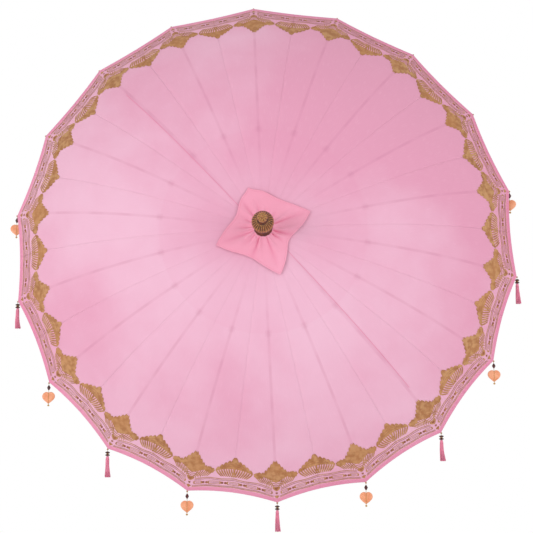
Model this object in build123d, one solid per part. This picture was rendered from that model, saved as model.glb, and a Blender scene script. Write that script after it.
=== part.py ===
from build123d import *
import math
import os

# Cotton garden parasol, two metres across, lying on its side with its pole level.
# Everything is first drawn standing up, with the pole along Z, its foot at z = 0 and the
# finial on top. lay_down() then turns it about X, so that the finial points to -Y, the foot
# to +Y, and the hearts and tassels on the rib tips hang straight down to -Z.

# Driving dimensions, in millimetres
RIBS = 18
TIP_RADIUS = 1000.0       # rib tip from the pole's axis
RIM_HEIGHT = 1930.0       # plane of the rib tips above the pole's foot
RISE = 330.0              # top of the cloth above that plane
SCALLOP_RADIUS = 970.0    # hem from the pole's axis, half way between two ribs
CLOTH = 1.5               # thickness of the cloth
POLE_RADIUS = 19.0        # the pole and its foot
FIT = 0.05                # radial running clearance of the wires and of the runner
GAP = 0.4                 # clearance between pieces that pass each other

RIB_WIDTH = 8.0
RIB_DEPTH_HUB = 14.0
RIB_DEPTH_TIP = 7.0
RIB_END_RADIUS = 990.0    # where the wooden rib ends and its metal nose begins
RIB_HEEL_RISE = 1.1       # middle of the rib's rounded heel above its pivot
NOSE_RADIUS = 3.5
NECK_RADIUS = 1.6
NECK_ROOT = 12.0          # how deep the metal neck sits in the wood

HUB_PIVOT_RADIUS = 45.0
HUB_RADIUS = 57.0
HUB_HEIGHT = 30.0
HUB_WAIST = 26.0          # tapered skirt below the crown
HUB_SOCKET = 40.0         # depth that the pole enters the hub
SLOT_FLOOR_RADIUS = 36.5
HUB_SLOT = RIB_WIDTH + 2 * GAP
WIRE_RADIUS = 1.5

RUNNER_PIVOT_RADIUS = 38.0
RUNNER_DROP = 400.0       # runner pivots below the top of the cloth when open
RUNNER_RADIUS = 48.0
RUNNER_FLANGE = 20.0
RUNNER_SLEEVE = 62.0
RUNNER_SLOT_FLOOR = 30.5
RUNNER_SLEEVE_RADIUS = 28.0

STRUT_WIDTH = 6.0
STRUT_DEPTH = 11.0
STRUT_ON_RIB = 390.0      # radius of the strut's pivot on the rib
STRUT_PIVOT_DEPTH = 9.0   # and its depth below the top of the cloth
STRUT_SLOT = STRUT_WIDTH + 2 * GAP
PRONG = 3.0
PRONG_LENGTH = 46.0
PRONG_BRIDGE = 12.0

FERRULE_HEIGHT = 900.0    # middle of the pole's joint
FERRULE_LENGTH = 110.0
FERRULE_RADIUS = 21.0
PEG_HEIGHT = 780.0
PEG_RADIUS = 3.0
PEG_LENGTH = 86.0
FOOT_LENGTH = 300.0       # stretch of the pole that goes into a stand
FOOT_LINE = 3.0           # width of the turned line that marks it

CAP_HALF_DIAGONAL = 187.0
CAP_TURN = 20.0           # turn of the square cap about the pole
CAP_NECK_RADIUS = 33.0
CAP_NECK_HEIGHT = 17.0

BALL_RADIUS = 41.0        # the finial's fluted ball
BALL_FLUTES = 16
KNOB_RADIUS = 19.0        # and the knob above it

THREAD_RADIUS = 1.0
THREAD_GAP = 0.9          # between the rib's nose and the thread
SHORT_DROP = 8.0          # nose to the first bead
LONG_DROP = 36.0
HEART_WIDTH = 50.0
HEART_THICKNESS = 3.0
TASSEL_LENGTH = 82.0

APEX = RIM_HEIGHT + RISE
STEP_ANGLE = 360.0 / RIBS
FIRST_RIB_ANGLE = 92.7    # of rib 1, from +X
HUB_PIVOT_HEIGHT = APEX - 10.0
RUNNER_PIVOT_HEIGHT = APEX - RUNNER_DROP


def cloth_height(radius):
    """Top of the cloth at a distance from the axis."""
    return APEX - RISE * (radius / TIP_RADIUS) ** 3


def under_cloth(radius, depth):
    """The point a given depth below the cloth's top, square to it, as (radius, height)."""
    slope = math.atan(3 * RISE * radius ** 2 / TIP_RADIUS ** 3)
    return (radius - depth * math.sin(slope), cloth_height(radius) - depth * math.cos(slope))


def rib_angle(number):
    return FIRST_RIB_ANGLE - STEP_ANGLE * (number - 1)


def lay_down(shape):
    return Rot(90, 0, 0) * shape


def save(shape, name):
    export_step(lay_down(shape), f"parts/{name}.step")


def upright_disc(radius, width, x, z):
    """A disc on its edge, its axis along Y, in the plane of a rib at angle 0."""
    return Pos(x, 0, z) * Rot(90, 0, 0) * Cylinder(radius, width)


def turned(points):
    """A solid of revolution from (radius, height) points."""
    return revolve(make_face(Plane.XZ * Polyline(*points, close=True)), Axis.Z)


def pivot_wire(radius, height, wire_radius):
    """The ring that threads the pivots: straight in each slot, bent between two slots."""
    half = radius * math.tan(math.radians(STEP_ANGLE / 2))
    corner = math.hypot(radius, half)
    points = []
    for number in range(1, RIBS + 1):
        angle = math.radians(rib_angle(number) + STEP_ANGLE / 2)
        points.append(Vector(corner * math.cos(angle), corner * math.sin(angle), height))
    ring = Polyline(*points, close=True)
    start = Plane(origin=(points[0] + points[1]) / 2, z_dir=points[1] - points[0])
    return sweep(start * Circle(wire_radius), path=Wire(ring.edges()), transition=Transition.RIGHT)


def rib():
    """A rib in the plane of angle 0: a bent strip that gets thinner towards its tip."""
    skin = CLOTH + GAP
    stations = [HUB_PIVOT_RADIUS + (RIB_END_RADIUS - HUB_PIVOT_RADIUS) * i / 9 for i in range(10)]
    share = [i / 9 for i in range(10)]
    top = [under_cloth(r, skin) for r in stations]
    bottom = [
        under_cloth(r, skin + RIB_DEPTH_HUB + (RIB_DEPTH_TIP - RIB_DEPTH_HUB) * s)
        for r, s in zip(stations, share)
    ]
    upper = Spline(*[Vector(r, 0, z) for r, z in top])
    lower = Spline(*[Vector(r, 0, z) for r, z in reversed(bottom)])
    ends = [Line(upper @ 1, lower @ 0), Line(lower @ 1, upper @ 0)]
    profile = make_face(Wire([*upper.edges(), *ends[0].edges(), *lower.edges(), *ends[1].edges()]))
    strip = extrude(profile, RIB_WIDTH / 2, dir=(0, 1, 0), both=True)
    heel_height = HUB_PIVOT_HEIGHT + RIB_HEEL_RISE
    strip += upright_disc(RIB_DEPTH_HUB / 2, RIB_WIDTH, HUB_PIVOT_RADIUS, heel_height)
    strip -= upright_disc(WIRE_RADIUS + FIT, 2 * RIB_WIDTH, HUB_PIVOT_RADIUS, HUB_PIVOT_HEIGHT)
    end = (upper @ 1 + lower @ 0) / 2
    tip = Vector(TIP_RADIUS, 0, tip_height())
    way = (tip - end).normalized()
    neck_start = end - way * NECK_ROOT
    neck = Plane(origin=neck_start, z_dir=way) * Cylinder(
        NECK_RADIUS, (tip - neck_start).length, align=(Align.CENTER, Align.CENTER, Align.MIN)
    )
    return strip + neck + Pos(*tip) * Sphere(NOSE_RADIUS)


def tip_height():
    """Height of the middle of a rib's nose."""
    middle = CLOTH + GAP + RIB_DEPTH_TIP / 2
    r, z = under_cloth(RIB_END_RADIUS, middle)
    slope = 3 * RISE * RIB_END_RADIUS ** 2 / TIP_RADIUS ** 3
    return z - slope * (TIP_RADIUS - r)


def strut_ends():
    """The strut's pivots on the runner and on the rib, as points at angle 0."""
    inner = Vector(RUNNER_PIVOT_RADIUS, 0, RUNNER_PIVOT_HEIGHT)
    outer = Vector(STRUT_ON_RIB, 0, cloth_height(STRUT_ON_RIB) - STRUT_PIVOT_DEPTH)
    return inner, outer


def strut():
    """A strut in the plane of angle 0: a straight bar with a fork that straddles the rib."""
    inner, outer = strut_ends()
    length = (outer - inner).length
    fork_start = length - PRONG_LENGTH - PRONG_BRIDGE
    fork_width = RIB_WIDTH + 2 * GAP + 2 * PRONG
    bar = Pos((fork_start + 2) / 2, 0, 0) * Box(fork_start + 2, STRUT_WIDTH, STRUT_DEPTH)
    bar += upright_disc(STRUT_DEPTH / 2, STRUT_WIDTH, 0, 0)
    fork = Pos((fork_start + length) / 2, 0, 0) * Box(length - fork_start, fork_width, STRUT_DEPTH)
    fork += upright_disc(STRUT_DEPTH / 2, fork_width, length, 0)
    throat = RIB_WIDTH + 2 * GAP
    reach = PRONG_LENGTH + STRUT_DEPTH
    fork -= Pos(length - PRONG_LENGTH + reach / 2, 0, 0) * Box(reach, throat, 2 * STRUT_DEPTH)
    whole = bar + fork - upright_disc(WIRE_RADIUS + FIT, 2 * STRUT_WIDTH, 0, 0)
    whole -= upright_disc(WIRE_RADIUS, 2 * fork_width, length, 0)
    way = outer - inner
    tilt = math.degrees(math.atan2(way.Z, way.X))
    return Pos(*inner) * Rot(0, -tilt, 0) * whole


def radial_slots(width, floor, reach, bottom, top):
    """Cutters for the slots that the ribs or struts fold into."""
    slots = []
    for number in range(1, RIBS + 1):
        cutter = Pos((floor + reach) / 2, 0, (bottom + top) / 2) * Box(reach - floor, width, top - bottom)
        slots.append(Rot(0, 0, rib_angle(number)) * cutter)
    return slots


def top_hub():
    """The crown on top of the pole that the ribs are threaded to."""
    bottom = HUB_PIVOT_HEIGHT - HUB_HEIGHT / 2 - 3
    top = APEX - CLOTH - 2 * GAP
    waist = bottom - HUB_WAIST
    block = turned([
        (0, waist), (POLE_RADIUS + 6, waist), (POLE_RADIUS + 9, waist + 12), (HUB_RADIUS, bottom),
        (HUB_RADIUS, top), (0, top),
    ])
    block -= Pos(0, 0, waist - 1) * Cylinder(
        POLE_RADIUS + FIT, HUB_SOCKET + 1, align=(Align.CENTER, Align.CENTER, Align.MIN)
    )
    block -= radial_slots(HUB_SLOT, SLOT_FLOOR_RADIUS, HUB_RADIUS + 10, waist - 5, top + 5)
    ring = pivot_wire(HUB_PIVOT_RADIUS, HUB_PIVOT_HEIGHT, WIRE_RADIUS)
    block -= ring
    return Compound([*block.solids(), *ring.solids()])


def runner():
    """The collar that slides on the pole and carries the struts."""
    top = RUNNER_PIVOT_HEIGHT + RUNNER_FLANGE / 2
    bottom = RUNNER_PIVOT_HEIGHT - RUNNER_FLANGE / 2
    foot = bottom - RUNNER_SLEEVE
    collar = turned([
        (POLE_RADIUS + FIT, foot), (RUNNER_SLEEVE_RADIUS + 3, foot), (RUNNER_SLEEVE_RADIUS + 3, foot + 8),
        (RUNNER_SLEEVE_RADIUS, foot + 14), (RUNNER_SLEEVE_RADIUS, bottom - 14), (RUNNER_RADIUS, bottom),
        (RUNNER_RADIUS, top), (POLE_RADIUS + FIT, top),
    ])
    collar -= radial_slots(STRUT_SLOT, RUNNER_SLOT_FLOOR, RUNNER_RADIUS + 10, bottom - 20, top + 5)
    ring = pivot_wire(RUNNER_PIVOT_RADIUS, RUNNER_PIVOT_HEIGHT, WIRE_RADIUS)
    collar -= ring
    return Compound([*collar.solids(), *ring.solids()])


def scallops(bottom, top):
    """Cutters that draw the hem in between two rib tips."""
    half = math.radians(STEP_ANGLE / 2)
    chord = TIP_RADIUS * math.sin(half)
    dip = TIP_RADIUS * math.cos(half) - SCALLOP_RADIUS
    radius = (chord ** 2 + dip ** 2) / (2 * dip)
    cutters = []
    for number in range(1, RIBS + 1):
        cutter = Pos(SCALLOP_RADIUS + radius, 0, (bottom + top) / 2) * Cylinder(radius, top - bottom)
        cutters.append(Rot(0, 0, rib_angle(number) + STEP_ANGLE / 2) * cutter)
    return cutters


def canopy():
    """The cloth, a thin domed shell with a scalloped hem, and the gathered cap on top of it."""
    hole = 14.0
    stations = [hole + (TIP_RADIUS - 2 - hole) * i / 11 for i in range(12)]
    upper = Spline(*[Vector(r, 0, cloth_height(r)) for r in stations])
    below = [under_cloth(r, CLOTH) for r in stations]
    lower = Spline(*[Vector(r, 0, z) for r, z in reversed(below)])
    ends = [Line(upper @ 1, lower @ 0), Line(lower @ 1, upper @ 0)]
    profile = make_face(Wire([*upper.edges(), *ends[0].edges(), *lower.edges(), *ends[1].edges()]))
    shell = revolve(profile, Axis.Z)
    shell -= scallops(RIM_HEIGHT - 60, APEX)
    return Compound([*shell.solids(), *cap().solids()])


def cap():
    """A square of cloth with hollow sides, gathered to a neck under the finial."""
    side = CAP_HALF_DIAGONAL * math.sqrt(2)
    base = APEX + 0.6
    square = Pos(0, 0, base) * Cylinder(
        CAP_HALF_DIAGONAL, 2.0, align=(Align.CENTER, Align.CENTER, Align.MIN)
    )
    square &= Pos(0, 0, base) * Rot(0, 0, 45) * Box(side, side, 20)
    hollow = 16.0
    radius = (side ** 2 / 4 + hollow ** 2) / (2 * hollow)
    for quarter in range(4):
        cutter = Pos(side / 2 - hollow + radius, 0, base) * Cylinder(radius, 20)
        square -= Rot(0, 0, 45 + 90 * quarter) * cutter
    cone = turned([
        (0, base), (96, base), (96, base + 4), (54, base + 9), (CAP_NECK_RADIUS, base + CAP_NECK_HEIGHT),
        (0, base + CAP_NECK_HEIGHT),
    ])
    square += cone
    square -= Pos(0, 0, base) * Cylinder(14.0, 80)
    return Rot(0, 0, CAP_TURN) * square


def finial():
    """The turned ornament on top: collar, fluted ball, neck, knob, and its peg through the cap."""
    base = APEX + 0.6 + CAP_NECK_HEIGHT
    peg = APEX - CLOTH - 2 * GAP
    middle = base + 94
    ball = [
        (BALL_RADIUS * math.sin(math.radians(a)), middle - BALL_RADIUS * math.cos(math.radians(a)))
        for a in range(30, 151, 10)
    ]
    knob = [
        (KNOB_RADIUS * math.sin(math.radians(a)), base + 170 - KNOB_RADIUS * math.cos(math.radians(a)))
        for a in range(50, 151, 20)
    ]
    whole = turned([
        (0, peg), (12, peg), (12, base), (34, base), (36, base + 6), (34, base + 13), (29, base + 17),
        (31, base + 24), (28, base + 32), (21, base + 38), (19, base + 50), *ball, (20, base + 131),
        (23, base + 134), (15, base + 140), (12, base + 150), *knob, (4, base + 193), (0, base + 202),
    ])
    groove_floor = BALL_RADIUS - 3.0
    flutes = []
    for number in range(BALL_FLUTES):
        groove = Pos(groove_floor + 5, 0, middle) * Rot(0, 0, 45) * Box(5, 5, BALL_RADIUS)
        flutes.append(Rot(0, 0, number * 360 / BALL_FLUTES) * groove)
    return whole - flutes


def pole_upper():
    """The upper pole, from its joint to the hub, with the hole that the locking peg goes through."""
    top = HUB_PIVOT_HEIGHT - HUB_HEIGHT / 2 - 3 - HUB_WAIST + HUB_SOCKET
    shaft = Pos(0, 0, FERRULE_HEIGHT) * Cylinder(
        POLE_RADIUS, top - FERRULE_HEIGHT, align=(Align.CENTER, Align.CENTER, Align.MIN)
    )
    hole = Pos(0, 0, RUNNER_PIVOT_HEIGHT - RUNNER_FLANGE / 2 - RUNNER_SLEEVE - 6) * Rot(0, 90, 0)
    return shaft - hole * Cylinder(PEG_RADIUS + 0.3, 3 * POLE_RADIUS)


def pole_lower():
    """The lower pole with its brass ferrule, its foot, and the locking peg stowed in it."""
    shaft = Cylinder(POLE_RADIUS, FERRULE_HEIGHT, align=(Align.CENTER, Align.CENTER, Align.MIN))
    peg_axis = Pos(0, 0, PEG_HEIGHT) * Rot(0, 90, 0)
    shaft -= peg_axis * Cylinder(PEG_RADIUS, 3 * POLE_RADIUS)
    line = Cylinder(POLE_RADIUS + 5, FOOT_LINE) - Cylinder(POLE_RADIUS - 1, FOOT_LINE)
    shaft -= Pos(0, 0, FOOT_LENGTH + FOOT_LINE / 2) * line
    peg = peg_axis * Cylinder(PEG_RADIUS, PEG_LENGTH)
    peg += Pos(PEG_LENGTH / 2, 0, PEG_HEIGHT) * Sphere(6)
    ferrule = Pos(0, 0, FERRULE_HEIGHT) * Cylinder(FERRULE_RADIUS, FERRULE_LENGTH)
    ferrule -= Pos(0, 0, FERRULE_HEIGHT) * Cylinder(POLE_RADIUS, FERRULE_LENGTH + 2)
    return Compound([*shaft.solids(), *peg.solids(), *ferrule.solids()])


def thread(end):
    """The thread, from just below the nose to a distance below it, hanging to -Y as drawn here."""
    start = NOSE_RADIUS + THREAD_GAP
    return Pos(0, -(start + end) / 2, 0) * Rot(90, 0, 0) * Cylinder(THREAD_RADIUS, end - start)


def hung(points):
    """A bead or skirt turned about the thread, from (radius, distance below the nose) points."""
    flat = [(r, -d) for r, d in points]
    return revolve(make_face(Polyline(*flat, close=True)), Axis.Y)


def heart_charm(drop):
    """Thread, faceted bead, heart-shaped leaf and a small bead; the bead starts at drop."""
    half = HEART_WIDTH / 2
    bead = hung([(0, drop), (3, drop + 1), (7, drop + 10), (3, drop + 19), (0, drop + 20)])
    left = Spline(
        (0, -drop - 29), (half * 0.5, -drop - 26.5), (half * 0.97, -drop - 36),
        (half * 0.86, -drop - 50), (half * 0.42, -drop - 63), (0, -drop - 74),
    )
    right = mirror(left, Plane.YZ)
    leaf = extrude(make_face(Wire([*left.edges(), *right.edges()])), HEART_THICKNESS / 2, both=True)
    ball = Pos(0, -drop - 78, 0) * Sphere(4.5)
    return thread(drop + 32) + bead + leaf + ball + Pos(0, -drop - 74, 0) * Box(2, 6, 2)


def tassel(drop):
    """Thread, two turned beads and a skirt of threads; the beads start at drop."""
    beads = hung([
        (0, drop), (4, drop), (9.5, drop + 3), (9.5, drop + 6), (5, drop + 9), (9.5, drop + 12),
        (9.5, drop + 15), (4, drop + 18), (0, drop + 18),
    ])
    top = drop + 17
    end = drop + 19 + TASSEL_LENGTH
    skirt = hung([(0, top), (4, top), (6.5, top + 8), (6.5, top + 16), (15, end), (0, end)])
    return thread(drop + 2) + beads + skirt


def drop_at(number):
    """Thread above the beads: longer on the upper ribs, where the ornament hangs beside its rib."""
    upper = math.sin(math.radians(rib_angle(number))) > 0.25
    return LONG_DROP if upper else SHORT_DROP


def hang(ornament, number):
    """Put an ornament at a rib tip so that it hangs to -Y as drawn, which is -Z laid down."""
    angle = math.radians(rib_angle(number))
    return Pos(TIP_RADIUS * math.cos(angle), TIP_RADIUS * math.sin(angle), tip_height()) * ornament


os.makedirs("parts", exist_ok=True)
one_rib = rib()
one_strut = strut()
for k in range(1, RIBS + 1):
    save(Rot(0, 0, rib_angle(k)) * one_rib, f"rib_{k:02d}")
    save(Rot(0, 0, rib_angle(k)) * one_strut, f"strut_{k:02d}")
    if k % 2 == 1:
        save(hang(heart_charm(drop_at(k)), k), f"heart_{k:02d}")
    else:
        save(hang(tassel(drop_at(k)), k), f"tassel_{k:02d}")
save(canopy(), "canopy")
save(finial(), "finial")
save(top_hub(), "top_hub")
save(runner(), "runner")
save(pole_upper(), "pole_upper")
save(pole_lower(), "pole_lower")
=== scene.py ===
import math
import random
from math import cos, pi, radians, sin

import bpy
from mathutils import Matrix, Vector


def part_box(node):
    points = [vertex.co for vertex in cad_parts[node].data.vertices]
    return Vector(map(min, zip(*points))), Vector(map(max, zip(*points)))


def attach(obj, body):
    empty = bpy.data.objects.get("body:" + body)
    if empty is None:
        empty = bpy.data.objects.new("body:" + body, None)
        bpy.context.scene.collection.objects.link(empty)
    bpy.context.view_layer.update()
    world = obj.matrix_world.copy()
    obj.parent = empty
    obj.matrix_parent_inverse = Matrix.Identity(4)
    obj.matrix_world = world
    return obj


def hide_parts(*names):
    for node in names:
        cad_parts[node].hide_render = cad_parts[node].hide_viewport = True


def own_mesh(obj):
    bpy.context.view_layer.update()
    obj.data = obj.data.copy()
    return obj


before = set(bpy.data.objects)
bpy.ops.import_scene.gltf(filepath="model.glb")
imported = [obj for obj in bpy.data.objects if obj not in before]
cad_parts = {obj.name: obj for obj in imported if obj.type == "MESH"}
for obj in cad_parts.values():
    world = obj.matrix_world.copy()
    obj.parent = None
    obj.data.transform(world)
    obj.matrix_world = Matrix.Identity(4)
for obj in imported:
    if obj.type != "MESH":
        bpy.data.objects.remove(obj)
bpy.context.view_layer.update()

# The frame lies on its side: finial to -Y, pole's foot at the origin, ornaments hang to -Z.
# Lengths are in metres. The sizes repeat the driving dimensions of the CAD model.
RIBS = 18
RADIUS = 1.0              # rib tip from the pole's axis
RIM = 1.930               # plane of the rim, along the pole from its foot
RISE = 0.330
APEX = RIM + RISE
HALF_GORE = pi / RIBS
FIRST_RIB_ANGLE = radians(92.7)
SCALLOP = 0.970           # hem from the axis, half way between two ribs
CLOTH = 0.0012
HEM = 0.020
TOP_HOLE = 0.012          # the finial's peg passes through it
CROWN = 0.047             # radius of the cloth that stays on the hub when the ribs fold
DISC = 0.39               # radius of the doubled cloth in the middle
PAINT_LIFT = 0.0006       # the painted border stands this far off the cloth
SAG = 0.0025              # how far the cloth dips between two ribs
TURN = radians(20)   # of the square cap
CAP_CORNER = 0.187        # of the cap, from the axis
CAP_NECK = 0.0320         # radius of the cap where it is gathered
NECK_RISE = 0.0176        # of the gathered cloth over the top of the canopy
FINIAL_BASE = APEX + NECK_RISE
FORK_RADIUS = 0.390       # the strut's pivot on its rib, from the axis
FORK_DEPTH = 0.009        # and below the cloth
FERRULE = 0.900           # middle of the pole's joint
TAU = 2 * pi


def laid(x, y, z):
    """A point drawn with the pole standing up, turned to the frame, where it lies down."""
    return (x, -z, y)


def polar(radius, a, z):
    """The same from a radius and an angle about the pole."""
    return laid(radius * cos(a), radius * sin(a), z)


def angles(count):
    """Directions spread evenly over a full turn."""
    return [TAU * k / count for k in range(count)]


def rib_angle(number):
    return FIRST_RIB_ANGLE - 2 * HALF_GORE * (number - 1)


# ---------------------------------------------------------------- meshes


def piece(name, points, faces, materials, body, uvs=None, slots=None):
    """A mesh object that rides on a body; uvs maps a layer's name to one pair per point."""
    mesh = bpy.data.meshes.new(name)
    mesh.from_pydata([tuple(p) for p in points], [], faces)
    for layer_name, pairs in (uvs or {}).items():
        layer = mesh.uv_layers.new(name=layer_name)
        for loop in mesh.loops:
            layer.data[loop.index].uv = pairs[loop.vertex_index]
    for item in materials:
        mesh.materials.append(item)
    mesh.polygons.foreach_set("use_smooth", [True] * len(mesh.polygons))
    if slots:
        mesh.polygons.foreach_set("material_index", slots)
    mesh.update()
    thing = bpy.data.objects.new(name, mesh)
    bpy.context.scene.collection.objects.link(thing)
    if body:
        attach(thing, body)
    return thing


class Shape:
    """Points and faces that several small parts share."""

    def __init__(self):
        self.points = []
        self.faces = []
        self.slots = []
        self.uvs = []

    def grid(self, rows, closed=False, slot=0):
        """Quads between rows of equal length."""
        first = len(self.points)
        width = len(rows[0])
        for index, row in enumerate(rows):
            self.points.extend(row)
            self.uvs += [(j / width, index / len(rows)) for j in range(width)]
        for i in range(len(rows) - 1):
            for j in range(width if closed else width - 1):
                a = first + i * width + j
                b = first + i * width + (j + 1) % width
                self.faces.append((a, b, b + width, a + width))
                self.slots.append(slot)

    def tube(self, path, radii, sides=8, slot=0):
        """A tube along a path, closed at both ends by shrinking to a point."""
        path = [Vector(p) for p in path]
        rows = []
        for i, p in enumerate(path):
            way = (path[min(i + 1, len(path) - 1)] - path[max(i - 1, 0)]).normalized()
            side = way.orthogonal().normalized()
            up = way.cross(side)
            rows.append([p + radii[i] * (cos(a) * side + sin(a) * up) for a in angles(sides)])
        rows.insert(0, [path[0]] * sides)
        rows.append([path[-1]] * sides)
        self.grid(rows, closed=True, slot=slot)

    def lathe(self, centre, profile, sides=24, slot=0):
        """A turned shape about -Z through centre, from (radius, distance down) points."""
        x, y, z = centre
        rows = [
            [(x + r * cos(a), y + r * sin(a), z - down) for a in angles(sides)]
            for r, down in profile
        ]
        self.grid(rows, closed=True, slot=slot)

    def make(self, name, materials, body):
        places = {"UVMap": self.uvs}
        return piece(name, self.points, self.faces, materials, body, places, self.slots)


# ---------------------------------------------------------------- materials


class Nodes:
    """A material's node tree with short ways to add and join nodes."""

    def __init__(self, name):
        self.material = bpy.data.materials.new(name)
        self.material.use_nodes = True
        self.tree = self.material.node_tree
        self.shader = self.tree.nodes["Principled BSDF"]

    def add(self, kind, **values):
        node = self.tree.nodes.new(kind)
        for key, value in values.items():
            if hasattr(node, key):
                setattr(node, key, value)
            else:
                node.inputs[key.replace("_", " ")].default_value = value
        return node

    def join(self, source, target):
        self.tree.links.new(source, target)

    def math(self, operation, a, b=None):
        node = self.add("ShaderNodeMath", operation=operation)
        for index, value in enumerate((a, b)):
            if value is None:
                continue
            if isinstance(value, (int, float)):
                node.inputs[index].default_value = value
            else:
                self.join(value, node.inputs[index])
        return node.outputs[0]

    def range(self, value, low, high, out_low=0.0, out_high=1.0):
        node = self.add("ShaderNodeMapRange", interpolation_type="SMOOTHSTEP")
        self.join(value, node.inputs["Value"])
        limits = {"From Min": low, "From Max": high, "To Min": out_low, "To Max": out_high}
        for key, number in limits.items():
            node.inputs[key].default_value = number
        return node.outputs["Result"]

    def mix(self, factor, a, b):
        node = self.add("ShaderNodeMix", data_type="RGBA")
        for socket, value in ((node.inputs[0], factor), (node.inputs[6], a), (node.inputs[7], b)):
            if isinstance(value, (int, float)):
                socket.default_value = value
            elif isinstance(value, tuple):
                socket.default_value = (*value, 1)
            else:
                self.join(value, socket)
        return node.outputs[2]

    def coordinates(self, uv=None):
        if uv:
            return self.add("ShaderNodeUVMap", uv_map=uv).outputs[0]
        return self.add("ShaderNodeTexCoord").outputs["Object"]

    def noise(self, vector, scale, detail=3.0, stretch=None):
        if stretch:
            mapping = self.add("ShaderNodeMapping")
            mapping.inputs["Scale"].default_value = stretch
            self.join(vector, mapping.inputs[0])
            vector = mapping.outputs[0]
        node = self.add("ShaderNodeTexNoise")
        node.inputs["Scale"].default_value = scale
        node.inputs["Detail"].default_value = detail
        self.join(vector, node.inputs["Vector"])
        return node.outputs["Fac"]

    def weave(self, vector, pitch):
        """Crossing threads of a plain weave, from 0 in the gaps to 1 on the threads."""
        split = self.add("ShaderNodeSeparateXYZ")
        self.join(vector, split.inputs[0])
        turn = TAU / pitch
        warp = self.math("SINE", self.math("MULTIPLY", split.outputs[0], turn))
        weft = self.math("SINE", self.math("MULTIPLY", split.outputs[1], turn))
        both = self.math("MULTIPLY", warp, weft)
        return self.math("ADD", self.math("MULTIPLY", both, 0.5), 0.5)

    def bump(self, height, distance, strength=0.6):
        node = self.add("ShaderNodeBump")
        node.inputs["Distance"].default_value = distance
        node.inputs["Strength"].default_value = strength
        self.join(height, node.inputs["Height"])
        self.join(node.outputs[0], self.shader.inputs["Normal"])

    def colour(self, socket):
        self.join(socket, self.shader.inputs["Base Color"])

    def set(self, **values):
        for key, value in values.items():
            self.shader.inputs[key.replace("_", " ")].default_value = value
        return self


def linear(*shades):
    """An sRGB colour given as 0 to 255 numbers, as linear numbers."""
    return tuple(((s / 255 + 0.055) / 1.055) ** 2.4 if s > 10 else s / 255 / 12.92 for s in shades)


def rib_shadows(n, cloth, colour):
    """What shows through the cloth: the ribs, the struts' forks, and a doubled disc in the middle."""
    place = n.add("ShaderNodeSeparateXYZ")
    n.join(cloth, place.inputs[0])
    off, radius = n.math("ABSOLUTE", place.outputs[0]), place.outputs[1]
    band = n.range(off, 0.0025, 0.0075, 1.0, 0.0)
    start = n.range(radius, DISC - 0.22, DISC + 0.02, 0.18, 1.0)
    end = n.range(radius, 0.80, 0.93, 1.0, 0.25)
    faint = n.range(n.noise(cloth, 12, 2), 0.3, 0.7, 0.12, 0.30)
    seen = n.math("MULTIPLY", n.math("MULTIPLY", band, start), n.math("MULTIPLY", end, faint))
    colour = n.mix(seen, colour, linear(206, 126, 158))
    inside = n.range(radius, DISC - 0.003, DISC + 0.003, 0.10, 0.0)
    colour = n.mix(inside, colour, linear(232, 150, 184))
    from_fork = n.math("ABSOLUTE", n.math("SUBTRACT", radius, DISC))
    long_way = n.range(from_fork, 0.006, 0.016, 1.0, 0.0)
    patch = n.math("MULTIPLY", long_way, n.range(off, 0.008, 0.016, 1.0, 0.0))
    return n.mix(n.math("MULTIPLY", patch, 0.12), colour, linear(196, 112, 146))


def hem_stitches(n, colour, relief):
    """A row of paler, raised stitches along the hem."""
    hem = n.add("ShaderNodeSeparateXYZ")
    n.join(n.coordinates("hem"), hem.inputs[0])
    from_row = n.math("ABSOLUTE", n.math("SUBTRACT", hem.outputs[1], 0.0165))
    near = n.range(from_row, 0.0003, 0.0008, 1.0, 0.0)
    rhythm = n.math("SINE", n.math("MULTIPLY", hem.outputs[0], TAU / 0.0045))
    stitch = n.math("MULTIPLY", near, n.range(rhythm, -0.3, 0.1))
    colour = n.mix(n.math("MULTIPLY", stitch, 0.6), colour, linear(252, 205, 222))
    return colour, n.math("ADD", relief, n.math("MULTIPLY", stitch, 2.0))


def cotton(name, light, deep, hem=False, ribs=False, fold_shades=False):
    """Dyed plain-weave cotton: uneven dye with painted shade, soft creases, and the ribs' painted
    shadows.
    """
    n = Nodes(name)
    cloth = n.coordinates("cloth")
    dye = n.noise(n.coordinates(), 1.3, 2)
    blotch = n.noise(n.coordinates(), 9.0, 4)
    shade = n.math("ADD", n.math("MULTIPLY", dye, 0.8), n.math("MULTIPLY", blotch, 0.2))
    # Painted shade: the colour deepens towards +Z and +X, the side away from the light.
    place = n.add("ShaderNodeSeparateXYZ")
    n.join(n.coordinates(), place.inputs[0])
    shade = n.math("ADD", shade, n.math("MULTIPLY", place.outputs[2], 0.11))
    shade = n.math("ADD", shade, n.math("MULTIPLY", place.outputs[0], 0.06))
    colour = n.mix(n.range(shade, 0.30, 0.70), light, deep)
    threads = n.weave(cloth, 0.0011)
    gaps = n.math("MULTIPLY", n.math("SUBTRACT", 1.0, threads), 0.10)
    colour = n.mix(gaps, colour, tuple(0.72 * c for c in deep))
    slub = n.range(n.noise(cloth, 260, 2, (1, 0.12, 1)), 0.55, 0.75, 0.0, 0.14)
    colour = n.mix(slub, colour, tuple(min(1, 1.12 * c) for c in light))
    relief = threads
    if ribs:
        colour = rib_shadows(n, cloth, colour)
    if fold_shades:
        # Painted shade: the cap's cloth is darkened in each fold.
        fold_shade = n.add("ShaderNodeAttribute", attribute_name="fold").outputs["Fac"]
        colour = n.mix(n.range(fold_shade, 0.0, 1.0, 0.0, 0.75), colour, linear(220, 104, 142))
    if hem:
        colour, relief = hem_stitches(n, colour, relief)
    n.colour(colour)
    creases = n.noise(n.coordinates(), 14, 4)
    n.bump(n.math("ADD", relief, n.math("MULTIPLY", creases, 3.0)), 0.0004, 0.45)
    n.set(Roughness=0.86, Sheen_Weight=0.25, Sheen_Roughness=0.5, Specular_IOR_Level=0.2)
    return n.material


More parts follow.
